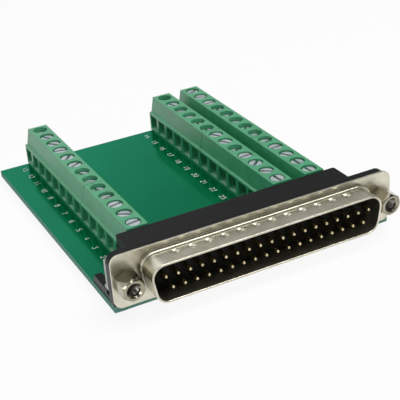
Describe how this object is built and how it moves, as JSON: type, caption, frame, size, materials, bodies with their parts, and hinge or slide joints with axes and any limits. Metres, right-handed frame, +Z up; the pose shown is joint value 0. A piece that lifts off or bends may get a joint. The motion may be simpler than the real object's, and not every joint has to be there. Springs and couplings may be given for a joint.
{
  "type": "d-sub screw terminal breakout board",
  "caption": "Circuit board that fans a right-angle D-sub plug with jackscrews out to rows of screw terminals for loose wires.",
  "frame": {"origin": "middle of the whole assembly seen from above, at the level of the trimmed solder tails' ends", "axes": "+X along the plug, its longer pin row upwards, +Y from the plug towards the rear edge of the board, +Z up"},
  "size_m": [0.0694, 0.084, 0.0153],
  "materials": {
    "circuit_board": "green solder mask over glass-epoxy laminate",
    "shell_steel": "drawn sheet, tin plated",
    "black_plastic": "moulded, fine grain",
    "contact_brass": "gold plated",
    "strap_steel": "stamped, tin plated",
    "nut_steel": "turned, nickel plated",
    "green_plastic": "moulded polyamide",
    "clamp_brass": "tin plated",
    "screw_steel": "zinc plated"
  },
  "bodies": {
    "breakout_board": {"clinch_nuts": "nut_steel", "left_jackscrew": "nut_steel", "left_mounting_strap": "strap_steel", "lower_contact_pins": "contact_brass", "plug_insulator": "black_plastic", "plug_shell": "shell_steel", "printed_circuit_board": "circuit_board", "rear_housing": "black_plastic", "right_jackscrew": "nut_steel", "right_mounting_strap": "strap_steel", "row_1_front_housing": "green_plastic", "row_1_rear_housing": "green_plastic", "row_1_wire_clamps": "clamp_brass", "row_2_front_housing": "green_plastic", "row_2_rear_housing": "green_plastic", "row_2_wire_clamps": "clamp_brass", "row_3_front_housing": "green_plastic", "row_3_rear_housing": "green_plastic", "row_3_wire_clamps": "clamp_brass", "upper_contact_pins": "contact_brass"},
    "terminal_screw_13": {"terminal_screw_13": "screw_steel"},
    "terminal_screw_12": {"terminal_screw_12": "screw_steel"},
    "terminal_screw_11": {"terminal_screw_11": "screw_steel"},
    "terminal_screw_10": {"terminal_screw_10": "screw_steel"},
    "terminal_screw_09": {"terminal_screw_09": "screw_steel"},
    "terminal_screw_08": {"terminal_screw_08": "screw_steel"},
    "terminal_screw_07": {"terminal_screw_07": "screw_steel"},
    "terminal_screw_06": {"terminal_screw_06": "screw_steel"},
    "terminal_screw_05": {"terminal_screw_05": "screw_steel"},
    "terminal_screw_04": {"terminal_screw_04": "screw_steel"},
    "terminal_screw_03": {"terminal_screw_03": "screw_steel"},
    "terminal_screw_02": {"terminal_screw_02": "screw_steel"},
    "terminal_screw_01": {"terminal_screw_01": "screw_steel"},
    "terminal_screw_14": {"terminal_screw_14": "screw_steel"},
    "terminal_screw_15": {"terminal_screw_15": "screw_steel"},
    "terminal_screw_16": {"terminal_screw_16": "screw_steel"},
    "terminal_screw_17": {"terminal_screw_17": "screw_steel"},
    "terminal_screw_18": {"terminal_screw_18": "screw_steel"},
    "terminal_screw_19": {"terminal_screw_19": "screw_steel"},
    "terminal_screw_20": {"terminal_screw_20": "screw_steel"},
    "terminal_screw_21": {"terminal_screw_21": "screw_steel"},
    "terminal_screw_22": {"terminal_screw_22": "screw_steel"},
    "terminal_screw_23": {"terminal_screw_23": "screw_steel"},
    "terminal_screw_24": {"terminal_screw_24": "screw_steel"},
    "terminal_screw_25": {"terminal_screw_25": "screw_steel"},
    "terminal_screw_26": {"terminal_screw_26": "screw_steel"},
    "terminal_screw_39": {"terminal_screw_39": "screw_steel"},
    "terminal_screw_38": {"terminal_screw_38": "screw_steel"},
    "terminal_screw_37": {"terminal_screw_37": "screw_steel"},
    "terminal_screw_36": {"terminal_screw_36": "screw_steel"},
    "terminal_screw_35": {"terminal_screw_35": "screw_steel"},
    "terminal_screw_34": {"terminal_screw_34": "screw_steel"},
    "terminal_screw_33": {"terminal_screw_33": "screw_steel"},
    "terminal_screw_32": {"terminal_screw_32": "screw_steel"},
    "terminal_screw_31": {"terminal_screw_31": "screw_steel"},
    "terminal_screw_30": {"terminal_screw_30": "screw_steel"},
    "terminal_screw_29": {"terminal_screw_29": "screw_steel"},
    "terminal_screw_28": {"terminal_screw_28": "screw_steel"},
    "terminal_screw_27": {"terminal_screw_27": "screw_steel"}
  },
  "joints": [
    {"name": "terminal_screw_13_turn", "type": "hinge", "parent": "breakout_board", "child": "terminal_screw_13", "pos_m": [-0.0226, 0.0395, 0.0114], "axis": [0, 0, 1], "range_deg": [-576, 936]},
    {"name": "terminal_screw_12_turn", "type": "hinge", "parent": "breakout_board", "child": "terminal_screw_12", "pos_m": [-0.0226, 0.0345, 0.01225], "axis": [0, 0, 1], "range_deg": [-1188, 324]},
    {"name": "terminal_screw_11_turn", "type": "hinge", "parent": "breakout_board", "child": "terminal_screw_11", "pos_m": [-0.0226, 0.0295, 0.0123], "axis": [0, 0, 1], "range_deg": [-1224, 288]},
    {"name": "terminal_screw_10_turn", "type": "hinge", "parent": "breakout_board", "child": "terminal_screw_10", "pos_m": [-0.0226, 0.0245, 0.01245], "axis": [0, 0, 1], "range_deg": [-1332, 180]},
    {"name": "terminal_screw_09_turn", "type": "hinge", "parent": "breakout_board", "child": "terminal_screw_09", "pos_m": [-0.0226, 0.0195, 0.01235], "axis": [0, 0, 1], "range_deg": [-1260, 252]},
    {"name": "terminal_screw_08_turn", "type": "hinge", "parent": "breakout_board", "child": "terminal_screw_08", "pos_m": [-0.0226, 0.0145, 0.01235], "axis": [0, 0, 1], "range_deg": [-1260, 252]},
    {"name": "terminal_screw_07_turn", "type": "hinge", "parent": "breakout_board", "child": "terminal_screw_07", "pos_m": [-0.0226, 0.0095, 0.0118], "axis": [0, 0, 1], "range_deg": [-864, 648]},
    {"name": "terminal_screw_06_turn", "type": "hinge", "parent": "breakout_board", "child": "terminal_screw_06", "pos_m": [-0.0226, 0.0045, 0.0117], "axis": [0, 0, 1], "range_deg": [-792, 720]},
    {"name": "terminal_screw_05_turn", "type": "hinge", "parent": "breakout_board", "child": "terminal_screw_05", "pos_m": [-0.0226, -0.0005, 0.01175], "axis": [0, 0, 1], "range_deg": [-828, 684]},
    {"name": "terminal_screw_04_turn", "type": "hinge", "parent": "breakout_board", "child": "terminal_screw_04", "pos_m": [-0.0226, -0.0055, 0.01195], "axis": [0, 0, 1], "range_deg": [-972, 540]},
    {"name": "terminal_screw_03_turn", "type": "hinge", "parent": "breakout_board", "child": "terminal_screw_03", "pos_m": [-0.0226, -0.0105, 0.01245], "axis": [0, 0, 1], "range_deg": [-1332, 180]},
    {"name": "terminal_screw_02_turn", "type": "hinge", "parent": "breakout_board", "child": "terminal_screw_02", "pos_m": [-0.0226, -0.0155, 0.0123], "axis": [0, 0, 1], "range_deg": [-1224, 288]},
    {"name": "terminal_screw_01_turn", "type": "hinge", "parent": "breakout_board", "child": "terminal_screw_01", "pos_m": [-0.0226, -0.0205, 0.01255], "axis": [0, 0, 1], "range_deg": [-1404, 108]},
    {"name": "terminal_screw_14_turn", "type": "hinge", "parent": "breakout_board", "child": "terminal_screw_14", "pos_m": [0.01425, 0.0395, 0.0114], "axis": [0, 0, 1], "range_deg": [-576, 936]},
    {"name": "terminal_screw_15_turn", "type": "hinge", "parent": "breakout_board", "child": "terminal_screw_15", "pos_m": [0.01425, 0.0345, 0.0122], "axis": [0, 0, 1], "range_deg": [-1152, 360]},
    {"name": "terminal_screw_16_turn", "type": "hinge", "parent": "breakout_board", "child": "terminal_screw_16", "pos_m": [0.01425, 0.0295, 0.0117], "axis": [0, 0, 1], "range_deg": [-792, 720]},
    {"name": "terminal_screw_17_turn", "type": "hinge", "parent": "breakout_board", "child": "terminal_screw_17", "pos_m": [0.01425, 0.0245, 0.01175], "axis": [0, 0, 1], "range_deg": [-828, 684]},
    {"name": "terminal_screw_18_turn", "type": "hinge", "parent": "breakout_board", "child": "terminal_screw_18", "pos_m": [0.01425, 0.0195, 0.01165], "axis": [0, 0, 1], "range_deg": [-756, 756]},
    {"name": "terminal_screw_19_turn", "type": "hinge", "parent": "breakout_board", "child": "terminal_screw_19", "pos_m": [0.01425, 0.0145, 0.01165], "axis": [0, 0, 1], "range_deg": [-756, 756]},
    {"name": "terminal_screw_20_turn", "type": "hinge", "parent": "breakout_board", "child": "terminal_screw_20", "pos_m": [0.01425, 0.0095, 0.01235], "axis": [0, 0, 1], "range_deg": [-1260, 252]},
    {"name": "terminal_screw_21_turn", "type": "hinge", "parent": "breakout_board", "child": "terminal_screw_21", "pos_m": [0.01425, 0.0045, 0.01235], "axis": [0, 0, 1], "range_deg": [-1260, 252]},
    {"name": "terminal_screw_22_turn", "type": "hinge", "parent": "breakout_board", "child": "terminal_screw_22", "pos_m": [0.01425, -0.0005, 0.0116], "axis": [0, 0, 1], "range_deg": [-720, 792]},
    {"name": "terminal_screw_23_turn", "type": "hinge", "parent": "breakout_board", "child": "terminal_screw_23", "pos_m": [0.01425, -0.0055, 0.01245], "axis": [0, 0, 1], "range_deg": [-1332, 180]},
    {"name": "terminal_screw_24_turn", "type": "hinge", "parent": "breakout_board", "child": "terminal_screw_24", "pos_m": [0.01425, -0.0105, 0.0124], "axis": [0, 0, 1], "range_deg": [-1296, 216]},
    {"name": "terminal_screw_25_turn", "type": "hinge", "parent": "breakout_board", "child": "terminal_screw_25", "pos_m": [0.01425, -0.0155, 0.01235], "axis": [0, 0, 1], "range_deg": [-1260, 252]},
    {"name": "terminal_screw_26_turn", "type": "hinge", "parent": "breakout_board", "child": "terminal_screw_26", "pos_m": [0.01425, -0.0205, 0.0126], "axis": [0, 0, 1], "range_deg": [-1440, 72]},
    {"name": "terminal_screw_39_turn", "type": "hinge", "parent": "breakout_board", "child": "terminal_screw_39", "pos_m": [0.0229, 0.0395, 0.0123], "axis": [0, 0, 1], "range_deg": [-1224, 288]},
    {"name": "terminal_screw_38_turn", "type": "hinge", "parent": "breakout_board", "child": "terminal_screw_38", "pos_m": [0.0229, 0.0345, 0.0124], "axis": [0, 0, 1], "range_deg": [-1296, 216]},
    {"name": "terminal_screw_37_turn", "type": "hinge", "parent": "breakout_board", "child": "terminal_screw_37", "pos_m": [0.0229, 0.0295, 0.01235], "axis": [0, 0, 1], "range_deg": [-1260, 252]},
    {"name": "terminal_screw_36_turn", "type": "hinge", "parent": "breakout_board", "child": "terminal_screw_36", "pos_m": [0.0229, 0.0245, 0.01175], "axis": [0, 0, 1], "range_deg": [-828, 684]},
    {"name": "terminal_screw_35_turn", "type": "hinge", "parent": "breakout_board", "child": "terminal_screw_35", "pos_m": [0.0229, 0.0195, 0.01165], "axis": [0, 0, 1], "range_deg": [-756, 756]},
    {"name": "terminal_screw_34_turn", "type": "hinge", "parent": "breakout_board", "child": "terminal_screw_34", "pos_m": [0.0229, 0.0145, 0.0116], "axis": [0, 0, 1], "range_deg": [-720, 792]},
    {"name": "terminal_screw_33_turn", "type": "hinge", "parent": "breakout_board", "child": "terminal_screw_33", "pos_m": [0.0229, 0.0095, 0.01165], "axis": [0, 0, 1], "range_deg": [-756, 756]},
    {"name": "terminal_screw_32_turn", "type": "hinge", "parent": "breakout_board", "child": "terminal_screw_32", "pos_m": [0.0229, 0.0045, 0.01165], "axis": [0, 0, 1], "range_deg": [-756, 756]},
    {"name": "terminal_screw_31_turn", "type": "hinge", "parent": "breakout_board", "child": "terminal_screw_31", "pos_m": [0.0229, -0.0005, 0.01185], "axis": [0, 0, 1], "range_deg": [-900, 612]},
    {"name": "terminal_screw_30_turn", "type": "hinge", "parent": "breakout_board", "child": "terminal_screw_30", "pos_m": [0.0229, -0.0055, 0.0124], "axis": [0, 0, 1], "range_deg": [-1296, 216]},
    {"name": "terminal_screw_29_turn", "type": "hinge", "parent": "breakout_board", "child": "terminal_screw_29", "pos_m": [0.0229, -0.0105, 0.0123], "axis": [0, 0, 1], "range_deg": [-1224, 288]},
    {"name": "terminal_screw_28_turn", "type": "hinge", "parent": "breakout_board", "child": "terminal_screw_28", "pos_m": [0.0229, -0.0155, 0.01225], "axis": [0, 0, 1], "range_deg": [-1188, 324]},
    {"name": "terminal_screw_27_turn", "type": "hinge", "parent": "breakout_board", "child": "terminal_screw_27", "pos_m": [0.0229, -0.0205, 0.01225], "axis": [0, 0, 1], "range_deg": [-1188, 324]}
  ]
}
